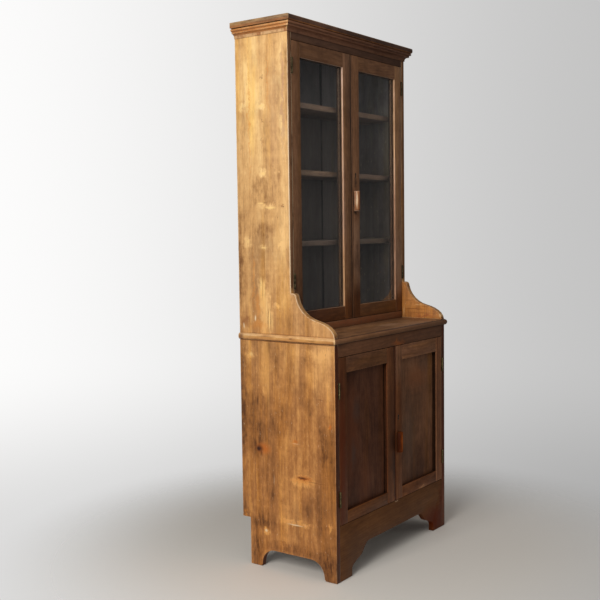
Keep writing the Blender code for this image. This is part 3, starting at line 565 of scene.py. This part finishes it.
joint_gaps = [((left_joint, 1.0), (0.004, 1.2), 0.7), ((right_joint, 1.86), (0.010, 0.26), 1.0),
              ((right_joint, 1.40), (0.007, 0.60), 0.95), ((right_joint, 0.98), (0.010, 0.26), 1.0)]
dress("back", pine("back_pine", "z", "x", INSIDE, 20.5, zones=back_zones, stains_and_shadows=[(tone(40, 30, 24), nails)],
                   cuts_and_painted_light=[(tone(6, 5, 5), joint_gaps)], boards=[left_joint, right_joint], knots=0.9, ring=0.2,
                   mottle=0.5, rough=0.66, wear=0.2, dirt_and_shade=0.5), 0.0006)

# Doors: the coat, the marks and the painted light and shade of each frame member and panel
LOWER_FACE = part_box("lower_left_hinge_stile")[0][1]
UPPER_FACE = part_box("upper_left_hinge_stile")[0][1]
door_coats = {
    "upper_left_meeting_stile": ASH_BROWN, "upper_left_top_rail": DARK_BROWN, "upper_left_bottom_rail": DEEP,
    "upper_right_hinge_stile": LIGHT_BROWN, "upper_right_bottom_rail": PLINTH,
    "lower_left_hinge_stile": RUSSET_L, "lower_left_meeting_stile": RUSSET_L, "lower_left_top_rail": FRIEZE,
    "lower_left_bottom_rail": DEEP,
    "lower_right_hinge_stile": RUSSET_PALE, "lower_right_meeting_stile": RUSSET,
    "lower_right_top_rail": RUSSET_R, "lower_right_bottom_rail": RUSSET,
}
dark_foot = [(both(FRONT, past("z", 1.04, 0.94)), DEEP)]
door_zones = {
    "upper_left_hinge_stile": dark_foot, "upper_left_meeting_stile": dark_foot,
    "upper_right_hinge_stile": dark_foot,
    "upper_right_meeting_stile": [
        (both(FRONT, past("z", 1.32, 1.22)), LIGHT_BROWN), (both(FRONT, past("z", 1.08, 0.98)), DEEP)],
    "lower_right_meeting_stile": [(both(FRONT, past("z", 0.62, 0.72)), RUSSET_R)],
}
door_stains_and_shadows = {
    "lower_left_hinge_stile": [(tone(104, 48, 22), [((-0.362, 0.45), (0.030, 0.34), 0.9)])],
    "lower_left_meeting_stile": [
        (tone(52, 28, 18), [((-0.012, 0.440), (0.030, 0.050), 0.85),
                            ((-0.008, 0.340), (0.020, 0.070), 0.75)]),
        (tone(84, 52, 35), [((-0.030, 0.520), (0.030, 0.300), 0.6)]),
        (tone(176, 104, 56), [((-0.002, 0.210), (0.014, 0.010), 0.6)])],
    # The dark beside the lower pull is dirt and painted shadow
    "lower_right_meeting_stile": [(tone(70, 38, 24), [((0.016, 0.432), (0.020, 0.060), 0.7)])],
    # Beside and under the upper pull the dark is painted shadow and dirt; round the keyhole it is dirt
    "upper_right_meeting_stile": [
        (tone(48, 27, 18), [((0.010, 1.358), (0.009, 0.050), 0.9)]),
        (tone(52, 34, 25), [((0.029, 1.432), (0.008, 0.026), 0.8), ((0.026, 1.314), (0.013, 0.008), 1.0)])],
    "lower_right_bottom_rail": [(tone(196, 140, 96), [((0.215, 0.206), (0.03, 0.005), 0.7)])],
    "lower_left_panel": [
        (tone(126, 70, 42), [((-0.30, 0.52), (0.07, 0.22), 0.55), ((-0.20, 0.33), (0.05, 0.12), 0.25)]),
        (tone(84, 72, 66), [((-0.27, 0.44), (0.02, 0.06), 0.5), ((-0.25, 0.60), (0.03, 0.05), 0.4)])],
    "lower_right_panel": [
        (tone(96, 82, 72), [((0.13, 0.42), (0.06, 0.16), 0.45), ((0.25, 0.69), (0.05, 0.04), 0.4)]),
        (tone(150, 92, 56), [((0.20, 0.66), (0.10, 0.06), 0.5), ((0.27, 0.52), (0.03, 0.10), 0.15)]),
        (tone(70, 46, 34), [((0.19, 0.27), (0.13, 0.05), 0.3)])],
}
# Painted light and shade on the doors: dark lines at the meeting edges are painted shadow of the gap, pale
# and orange lines on the bead are painted highlight, the dark band beside each lower panel's reveal is
# painted shadow, and the right lower hinge stile has a darker band by the panel as painted shade and a paler
# band towards its hinge edge
door_light_and_shade = {
    "upper_left_meeting_stile": [(tone(30, 18, 12), [((-0.0016, 1.41), (0.0064, 1.5), 1.0)])],
    "lower_left_meeting_stile": [(tone(30, 18, 12), [((-0.0016, 0.50), (0.0042, 1.5), 1.0)])],
    "upper_right_meeting_stile": [
        (tone(30, 18, 12), [((0.0074, 1.41), (0.0020, 1.5), 0.85)]),
        (tone(150, 104, 74), [((0.0040, 1.41), (0.0022, 1.5), 0.7)])],
    "lower_right_meeting_stile": [
        (tone(30, 18, 12), [((0.0074, 0.50), (0.0020, 1.5), 0.85)]),
        (tone(92, 42, 19), [((0.0040, 0.50), (0.0044, 1.5), 0.95)])],
    "lower_right_hinge_stile": [
        (tone(106, 66, 44), [((0.349, 0.50), (0.0078, 1.50), 0.8)]),
        (tone(166, 112, 79), [((0.377, 0.50), (0.0100, 1.50), 0.5)])],
    "lower_left_panel": [(tone(30, 17, 11), [((-0.055, 0.50), (0.008, 1.20), 0.85)])],
    "lower_right_panel": [(tone(30, 17, 11), [((0.334, 0.50), (0.008, 1.20), 0.85)])],
}


# Depth behind a door's face at which the wall of its opening fades out at the pane or panel
WALL_GONE, WALL_FULL = 0.0150, 0.0142


def opening_wall(face, start, full):
    """The wall of a door's opening, from a depth behind the door's face inwards."""
    return both(past("y", face + start, face + full), past("y", face + WALL_GONE, face + WALL_FULL))


# Doors: frames, panels, panes and hinges
DOORS = ("upper_left", "upper_right", "lower_left", "lower_right")
for k, door in enumerate(DOORS):
    lower = door.startswith("lower")
    hand = -1 if door.endswith("left") else 1
    face = LOWER_FACE if lower else UPPER_FACE
    lip = opening_wall(face, 0.0010, 0.0018)
    # Lower openings get an orange rim as painted light and a dark deep part as painted shadow; glazed
    # openings get a pale rim and painted shade deeper in
    if lower:
        wall = [(lip, LIT_RIM), (opening_wall(face, 0.0020, 0.0044), RECESS_SHADOW)]
    else:
        wall = [(lip, REVEAL), (both(lip, past("z", 1.50, 1.36)), REVEAL_WARM),
                (opening_wall(face, 0.0066, 0.0084), GLASS_DEPTH_SHADE)]
    # The edges of the meeting stiles that face the slit are dark as painted shade
    slit = (both(facing(-hand, 0, 0), past("x", hand * 0.0052, hand * 0.0036)), GAP_SHADE)
    for j, part in enumerate(("hinge_stile", "meeting_stile", "top_rail", "bottom_rail")):
        node = f"{door}_{part}"
        run = ("z", "x") if "stile" in part else ("x", "z")
        shaded, meets = node == "lower_right_hinge_stile", part == "meeting_stile"
        # The shaded stile's reveal is painted dark as shade
        zones = [(opening_wall(face, 0.0006, 0.0020), GAP_SHADE)] if shaded else wall
        zones = zones + [slit] * meets + door_zones.get(node, [])
        wear = 0.08 if shaded else 0.12 if lower and meets else 0.35
        wood = pine(node + "_pine", *run, door_coats.get(node, BROWN), 30 + k * 5.3 + j * 1.1, zones=zones,
                    stains_and_shadows=door_stains_and_shadows.get(node, []), cuts_and_painted_light=door_light_and_shade.get(node, []), ring=0.5, streak=0.7,
                    mottle=0.8, hue=0.7, dirt_and_shade=0.35 if shaded else 0.75, wear=wear,
                    gloss=0.12 if lower else 0.22)
        dress(node, wood, 0.0009)
    if lower:
        node = door + "_panel"
        coat, zones = (PANEL_R, [(past("z", 0.52, 0.32), PANEL_LOW)]) if hand > 0 else (PANEL_L, [])
        wood = pine(node + "_pine", "z", "x", coat, 50 + k * 3.1, zones=zones, stains_and_shadows=door_stains_and_shadows[node],
                    cuts_and_painted_light=door_light_and_shade[node], ring=0.6, streak=0.5, mottle=0.85, hue=1.0, wear=0.0, dirt_and_shade=0.9,
                    gloss=0.12)
        dress(node, wood, 0.0)
    else:
        pane = NODES[door + "_pane"]
        pane.data.materials.clear()
        pane.data.materials.append(old_glass(door + "_glass", 1.0 + k))
        pane.visible_shadow = False
    # The upper hinges take a darker copy of the brass, as painted shade in the gap
    brass = (tone(116, 104, 70), tone(76, 67, 46)) if lower else (tone(84, 73, 52), tone(54, 46, 34))
    for j, hinge in enumerate(("low_hinge", "high_hinge")):
        for leaf in ("frame_leaf", "door_leaf"):
            node = f"{door}_{hinge}_{leaf}"
            seed = k * 5 + j * 2 + len(leaf)
            dress(node, metal(node + "_brass", *brass, tone(34, 29, 22), 0.50, seed), 0.0002)

# Pulls and ironwork
# Painted light and shade on the pulls: the dark right flank and dark underside of the upper pull are painted
# shadow, the dark left flank of the lower pull is painted shadow and dirt, and the pale and orange strips are
# painted highlights
pull_light_and_shade = {
    "upper_pull": [
        (tone(104, 60, 42), [((0.0345, 1.360), (0.0100, 0.090), 0.95)]),
        (tone(255, 224, 184), [((0.0180, 1.364), (0.0024, 0.034), 0.9)]),
        (tone(30, 18, 13), [((0.0300, 1.3225), (0.0160, 0.0050), 1.0)])],
    "lower_pull": [
        (tone(58, 25, 12), [((0.0150, 0.430), (0.0060, 0.090), 0.9)]),
        (tone(196, 104, 40), [((0.0265, 0.430), (0.0030, 0.050), 0.7)])],
}
for node, coat, seed, look in (
        ("upper_pull", PULL, 61.0, dict(rough=0.30, wear=0.5, worn=tone(236, 200, 172))),
        ("lower_pull", PULL_DARK, 63.0, dict(rough=0.55, wear=0.2, gloss=0.06))):
    # Pull undersides take painted shade
    dress(node, pine(node + "_wood", "z", "x", coat, seed, zones=[(BELOW, UNDERSIDE_SHADE)], cuts_and_painted_light=pull_light_and_shade[node],
                     ring=0.3, **look), 0.0018)
IRON = metal("old_iron", tone(112, 106, 100), tone(74, 69, 64), tone(50, 38, 30), 0.48, 4.0)
SCREW = metal("screw_steel", tone(124, 114, 96), tone(86, 78, 64), tone(48, 40, 32), 0.45, 7.0)


def painted_hole_shade():
    """Painted shade for the inside of keyholes and screw slots, with a little dust in it."""
    net = Net("painted_hole_shade")
    place = net.node("ShaderNodeTexCoord").outputs["Object"]
    dust = net.noise(place, 600.0, 3.0, 0.6)
    colour = net.blend(net.span(dust, 0.4, 0.75), tone(18, 13, 10), tone(46, 34, 26))
    net.put(net.shader.inputs["Base Color"], colour)
    net.put(net.shader.inputs["Roughness"], net.span(dust, 0.2, 0.8, 0.75, 0.95))
    net.shader.inputs["Specular IOR Level"].default_value = 0.1
    return net.mat


HOLE_SHADE = painted_hole_shade()
for node, seed in (("upper_lock_bolt", 1.0), ("lower_lock_bolt", 2.0)):
    dress(node, metal(node + "_iron", tone(120, 116, 110), tone(84, 80, 76), tone(52, 40, 32), 0.45, seed),
          0.0004)


# Small pieces that ride on the doors and the case
def piece(name, verts, faces, material, body, slot, second=None, dark=()):
    """A mesh that rides on a body; the faces listed as dark take the second material."""
    mesh = bpy.data.meshes.new(name)
    mesh.from_pydata(verts, [], faces)
    bm = bmesh.new()
    bm.from_mesh(mesh)
    bmesh.ops.recalc_face_normals(bm, faces=bm.faces)
    bm.to_mesh(mesh)
    bm.free()
    mesh.materials.append(material)
    if second:
        mesh.materials.append(second)
        for i in dark:
            mesh.polygons[i].material_index = 1
    ob = bpy.data.objects.new(name, mesh)
    scene.collection.objects.link(ob)
    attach(ob, body)


def sweep(loops):
    """Faces between closed section loops that run round in a ring."""
    verts = [v for loop in loops for v in loop]
    n, m = len(loops), len(loops[0])
    faces = []
    for i in range(n):
        for j in range(m):
            a, b = i * m, (i + 1) % n * m
            faces.append((a + j, a + (j + 1) % m, b + (j + 1) % m, b + j))
    return verts, faces


def between(start, end, share, y):
    """A point part of the way from one corner of a frame to another, at depth y."""
    return start[0] + (end[0] - start[0]) * share, y, start[1] + (end[1] - start[1]) * share


# Glazing beads: how far they stand behind the frame, and how far their inner edge rounds off
BEAD_STANDS, BEAD_ROUND, BEAD_SLOPE = 0.013, 0.0028, 0.35
# The share of the rebate that they leave free, and their gap to the pane
BEAD_FREE, BEAD_GAP = 0.06, 0.0001
# The glazing beads behind the glass are darkened as painted shade
BEADS = pine("glazing_bead_pine", "z", "x", GLAZING_BEAD_SHADE, 71.0, ring=0.3, wear=0.2)
for s, door in ((-1, "upper_left"), (1, "upper_right")):
    (x0, _, z0), (x1, y1, z1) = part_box(door + "_pane")
    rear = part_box(door + "_hinge_stile")[1][1]
    edges = sorted(abs(c) for c in (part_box(door + "_hinge_stile")[0 if s > 0 else 1][0],
                                    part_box(door + "_meeting_stile")[1 if s > 0 else 0][0]))
    u0, u1 = (edges[0], edges[1]) if s > 0 else (-edges[1], -edges[0])
    v0, v1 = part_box(door + "_bottom_rail")[1][2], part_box(door + "_top_rail")[0][2]
    back, seat = rear + BEAD_STANDS, y1 + BEAD_GAP
    loops = []
    for pane, hole in (((x0, z0), (u0, v0)), ((x1, z0), (u1, v0)),
                       ((x1, z1), (u1, v1)), ((x0, z1), (u0, v1))):
        rounds = [between(pane, hole, 1.0 - BEAD_SLOPE * (1 - math.cos(t)),
                          back - BEAD_ROUND * (1 - math.sin(t)))
                  for t in (math.pi / 2 * i / 4 for i in range(5))]
        loops.append([between(pane, hole, BEAD_FREE, seat), between(pane, hole, 1.0, seat), *rounds,
                      between(pane, hole, BEAD_FREE, back)])
    piece(door + "_glazing_beads", *sweep(loops), BEADS, door + "_door", "front_pine")


# Screw heads: half angle of the slot, shares of the radius on top and at the slot, then radius and height
SLOT_ANGLE, SCREW_TOP, SCREW_SLOT = 0.16, 0.9, 0.88
HINGE_SCREW, LOCK_SCREW, STRIP_SCREW = (0.0026, 0.00008), (0.0028, 0.0009), (0.0026, 0.00055)


class Plate:
    """Flat ironwork built on a face: u and v run along it, and h stands off it."""

    def __init__(self, spot):
        self.spot, self.verts, self.faces, self.dark = spot, [], [], []

    def ring(self, points, h):
        start = len(self.verts)
        self.verts += [self.spot(u, v, h) for u, v in points]
        return list(range(start, start + len(points)))

    def wall(self, a, b, dark=False):
        for i in range(len(a)):
            j = (i + 1) % len(a)
            self.face((a[i], a[j], b[j], b[i]), dark)

    def face(self, corners, dark=False):
        if dark:
            self.dark.append(len(self.faces))
        self.faces.append(tuple(corners))

    def screw(self, u, v, radius, proud, turn):
        """A head in two halves with a slot in painted shade between them."""
        def round_head(angles, r):
            return [(u + r * math.cos(a), v + r * math.sin(a)) for a in angles]

        for side in (0.0, math.pi):
            arc = [turn + side + SLOT_ANGLE + (math.pi - 2 * SLOT_ANGLE) * i / 10 for i in range(11)]
            foot = self.ring(round_head(arc, radius), 0.0)
            top = self.ring(round_head(arc, radius * SCREW_TOP), proud)
            self.wall(foot, top)
            self.face(top)
        ends = [turn + side + lean for side in (0.0, math.pi) for lean in (SLOT_ANGLE, -SLOT_ANGLE)]
        bar = round_head(ends, radius * SCREW_SLOT)
        self.wall(self.ring(bar, 0.0), self.ring(bar, proud * 0.3), True)
        self.face(range(len(self.verts) - 4, len(self.verts)), True)


def rounded(u0, v0, u1, v1, r):
    """A rectangle with rounded corners."""
    turns = ((u1 - r, v1 - r, 0), (u0 + r, v1 - r, 1), (u0 + r, v0 + r, 2), (u1 - r, v0 + r, 3))
    return [(cu + r * math.cos(math.pi / 2 * (q + i / 4)), cv + r * math.sin(math.pi / 2 * (q + i / 4)))
            for cu, cv, q in turns for i in range(5)]


# Hinge screws: the planes of the leaves, then each screw as a share of the height and an inset
FRAME_LEAF_X, DOOR_LEAF_X = 0.38515, 0.38485
HINGE_SCREWS = ((0.16, 0.0052), (0.5, 0.0098), (0.84, 0.0052))
for door in DOORS:
    s = -1 if door.endswith("left") else 1
    for k, hinge in enumerate(("low_hinge", "high_hinge")):
        (_, _, z0), (_, y1, z1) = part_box(f"{door}_{hinge}_frame_leaf")
        for leaf, x, out, body in (("frame", FRAME_LEAF_X, -s, "case"),
                                   ("door", DOOR_LEAF_X, s, door + "_door")):
            plate = Plate(lambda u, v, h, x=x, out=out: (s * x + out * h, u, v))
            for i, (share, inset) in enumerate(HINGE_SCREWS):
                plate.screw(y1 - inset, z0 + (z1 - z0) * share, *HINGE_SCREW, 0.7 + 1.9 * i + k)
            piece(f"{door}_{hinge}_{leaf}_screws", plate.verts, plate.faces, SCREW, body, "hinge_brass",
                  HOLE_SHADE, plate.dark)

# Keyhole: a round head over a slot, inside a thin rim given as share of the hole and height
HEAD_ACROSS, HEAD_UP, SLOT_HALF, SLOT_FOOT = 0.0039, 0.0037, 0.0026, 0.0128
HEAD_START, HEAD_SWEEP, HEAD_STEPS = -0.95, 5.04, 16
HEAD_TURNS = [HEAD_START + HEAD_SWEEP * i / HEAD_STEPS for i in range(HEAD_STEPS + 1)]
HOLE = [(HEAD_ACROSS * math.cos(a), HEAD_UP * math.sin(a)) for a in HEAD_TURNS]
HOLE += [(-SLOT_HALF, -SLOT_FOOT), (SLOT_HALF, -SLOT_FOOT)]
HOLE_RIM = ((1.26, 0.0), (1.22, 0.00022), (1.02, 0.00022), (1.0, 0.00006))

# Lock plate behind the stile, measured from the meeting edge
LOCK_NEAR, LOCK_FAR, LOCK_HALF, LOCK_CORNER = 0.0056, 0.0476, 0.032, 0.003
LOCK_CHAMFER, LOCK_THICK = 0.0005, 0.0006
LOCK_SCREWS = ((0.0105, -0.027), (0.0427, -0.027), (0.0105, 0.027), (0.0427, 0.027))

# Plates that the bolt passes, measured from the door's face
STRIP_FROM, STRIP_TO, STRIP_HALF, STRIP_CORNER, STRIP_THICK = 0.0052, 0.0190, 0.034, 0.002, 0.0004
BOLT_GAP, BOLT_HOLE_HALF, BOLT_HOLE_CORNER = 0.0004, 0.0084, 0.0006
STRIP_SCREWS = ((-0.026, 0.5), (0.026, 2.1))

# Keyholes, lock plates and the plates that the bolts pass
for stage in ("upper", "lower"):
    (_, by0, bz0), (_, by1, bz1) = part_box(stage + "_lock_bolt")
    (x0, front, _), (x1, rear, _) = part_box(stage + "_right_meeting_stile")
    cz = (bz0 + bz1) / 2
    cx = (x0 + x1) / 2
    right, left = stage + "_right_door", stage + "_left_door"
    plate = Plate(lambda u, v, h: (cx + u, front - h, cz + v))
    loops = [plate.ring([(u * share, v * share) for u, v in HOLE], h) for share, h in HOLE_RIM]
    for a, b in zip(loops, loops[1:]):
        plate.wall(a, b)
    # The keyhole is closed by a face in painted shade
    plate.face(loops[-1], True)
    piece(stage + "_keyhole", plate.verts, plate.faces, IRON, right, "lock_iron", HOLE_SHADE, plate.dark)
    plate = Plate(lambda u, v, h: (u, rear + h, cz + v))
    near, far, half = x0 + LOCK_NEAR, x0 + LOCK_FAR, LOCK_HALF
    outer = plate.ring(rounded(near, -half, far, half, LOCK_CORNER), 0.0)
    near, far, half = near + LOCK_CHAMFER, far - LOCK_CHAMFER, half - LOCK_CHAMFER
    inner = plate.ring(rounded(near, -half, far, half, LOCK_CORNER), LOCK_THICK)
    plate.wall(outer, inner)
    plate.face(inner)
    for i, (u, v) in enumerate(LOCK_SCREWS):
        plate.screw(x0 + u, v, *LOCK_SCREW, 0.4 + 1.3 * i)
    piece(stage + "_lock_plate", plate.verts, plate.faces, IRON, right, "lock_iron", HOLE_SHADE, plate.dark)
    for name, body, x, out in (("selvedge", right, x0, -1), ("keep_plate", left, -x0, 1)):
        plate = Plate(lambda u, v, h, x=x, out=out: (x + out * h, u, cz + v))
        strip = rounded(front + STRIP_FROM, -STRIP_HALF, front + STRIP_TO, STRIP_HALF, STRIP_CORNER)
        slot = rounded(by0 - BOLT_GAP, -BOLT_HOLE_HALF, by1 + BOLT_GAP, BOLT_HOLE_HALF, BOLT_HOLE_CORNER)
        loops = [plate.ring(strip, 0.0), plate.ring(strip, STRIP_THICK), plate.ring(slot, STRIP_THICK),
                 plate.ring(slot, 0.0)]
        for a, b in zip(loops, loops[1:] + loops[:1]):
            plate.wall(a, b)
        for v, turn in STRIP_SCREWS:
            plate.screw(front + (STRIP_FROM + STRIP_TO) / 2, v, *STRIP_SCREW, turn)
        piece(f"{stage}_{name}", plate.verts, plate.faces, IRON, body, "lock_iron", HOLE_SHADE, plate.dark)


# Floor, as a pale disc that fades out
def plain_floor():
    mesh = bpy.data.meshes.new("floor")
    half, level = 7.0, -0.001
    corners = [(-half, -half, level), (half, -half, level), (half, half, level), (-half, half, level)]
    mesh.from_pydata(corners, [], [(0, 1, 2, 3)])
    ob = bpy.data.objects.new("floor", mesh)
    scene.collection.objects.link(ob)
    net = Net("pale_floor")
    net.shader.inputs["Base Color"].default_value = tone(240, 236, 230)
    net.shader.inputs["Roughness"].default_value = 0.75
    place = net.node("ShaderNodeTexCoord").outputs["Object"]
    far = net.span(net.vec("LENGTH", place), 0.55, 1.5)
    clear = net.node("ShaderNodeBsdfTransparent")
    mix = net.node("ShaderNodeMixShader", {0: far, 1: net.shader.outputs[0], 2: clear.outputs[0]})
    net.put(net.tree.nodes["Material Output"].inputs["Surface"], mix.outputs[0])
    mesh.materials.append(net.mat)


plain_floor()


# Window light from the left, light from the ceiling, a weak fill from the front, and a pale room
def area(name, place, aim, size, power, colour):
    data = bpy.data.lights.new(name, "AREA")
    data.shape = "RECTANGLE"
    data.size, data.size_y = size
    data.energy = power
    data.color = colour
    ob = bpy.data.objects.new(name, data)
    ob.location = place
    ob.rotation_euler = (Vector(aim) - Vector(place)).to_track_quat("-Z", "Y").to_euler()
    scene.collection.objects.link(ob)


area("window", (-3.5, -0.50, 2.25), (0.0, 0.0, 1.15), (1.8, 2.0), 97, (1.0, 0.97, 0.92))
area("ceiling", (-0.8, -1.2, 3.6), (-0.3, -0.4, 0.0), (3.0, 3.0), 14, (1.0, 0.97, 0.93))
area("fill", (1.2, -4.0, 2.0), (0.0, 0.0, 1.2), (3.0, 2.5), 9, (1.0, 0.98, 0.95))


def pale_room():
    world = bpy.data.worlds.new("pale_room")
    scene.world = world
    world.use_nodes = True
    tree = world.node_tree
    new, link = tree.nodes.new, tree.links.new
    sky = tree.nodes["Background"]
    sky.inputs["Color"].default_value = (1.0, 0.97, 0.93, 1.0)
    sky.inputs["Strength"].default_value = 0.135
    where = new("ShaderNodeTexCoord")
    path = new("ShaderNodeLightPath")

    def slope(direction, low, high, to_low, to_high):
        lean = new("ShaderNodeVectorMath")
        lean.operation = "DOT_PRODUCT"
        lean.inputs[1].default_value = direction
        link(where.outputs["Generated"], lean.inputs[0])
        fall = new("ShaderNodeMapRange")
        fall.interpolation_type = "SMOOTHSTEP"
        for key, value in zip(("From Min", "From Max", "To Min", "To Max"), (low, high, to_low, to_high)):
            fall.inputs[key].default_value = value
        link(lean.outputs["Value"], fall.inputs["Value"])
        return fall.outputs["Result"]

    def larger(a, b):
        n = new("ShaderNodeMath")
        n.operation = "MAXIMUM"
        link(a, n.inputs[0])
        link(b, n.inputs[1])
        return n.outputs[0]

    wall = new("ShaderNodeMath")
    wall.operation = "MULTIPLY"
    link(slope((0.588, -0.809, 0.0), -0.38, 0.38, 0.99, 0.54), wall.inputs[0])
    link(slope((0.0, 0.0, 1.0), -0.30, -0.13, 0.74, 1.0), wall.inputs[1])
    shown = new("ShaderNodeMix")
    link(path.outputs["Is Camera Ray"], shown.inputs["Factor"])
    link(slope((0.80, -0.60, 0.0), -0.2, 0.8, 0.74, 0.085), shown.inputs[2])
    link(wall.outputs[0], shown.inputs[3])
    room = new("ShaderNodeBackground")
    room.inputs["Color"].default_value = (1.0, 0.995, 0.99, 1.0)
    link(shown.outputs[0], room.inputs["Strength"])
    seen = larger(path.outputs["Is Camera Ray"], path.outputs["Is Glossy Ray"])
    seen = larger(seen, path.outputs["Is Transmission Ray"])
    pick = new("ShaderNodeMixShader")
    link(seen, pick.inputs[0])
    link(sky.outputs[0], pick.inputs[1])
    link(room.outputs[0], pick.inputs[2])
    link(pick.outputs[0], tree.nodes["World Output"].inputs["Surface"])


pale_room()


# Camera as fitted to the photograph
SENSOR_MM, FOCAL_PIXELS, PHOTO_PIXELS = 36.0, 952.6, 600
CAMERA_AT = (-3.131, -2.039, 1.257)


def photo_camera():
    yaw, pitch, roll = math.radians(53.96), math.radians(-4.31), math.radians(-0.78)
    ahead = Vector((math.sin(yaw) * math.cos(pitch), math.cos(yaw) * math.cos(pitch), math.sin(pitch)))
    right = Vector((math.cos(yaw), -math.sin(yaw), 0.0))
    up = right.cross(ahead)
    x = math.cos(roll) * right + math.sin(roll) * up
    y = -math.sin(roll) * right + math.cos(roll) * up
    data = bpy.data.cameras.new("photo_camera")
    data.sensor_width = SENSOR_MM
    data.lens = SENSOR_MM * FOCAL_PIXELS / PHOTO_PIXELS
    data.clip_end = 100.0
    ob = bpy.data.objects.new("photo_camera", data)
    turn = Matrix((x, y, -ahead)).transposed().to_4x4()
    ob.matrix_world = Matrix.Translation(CAMERA_AT) @ turn
    scene.collection.objects.link(ob)
    scene.camera = ob


photo_camera()
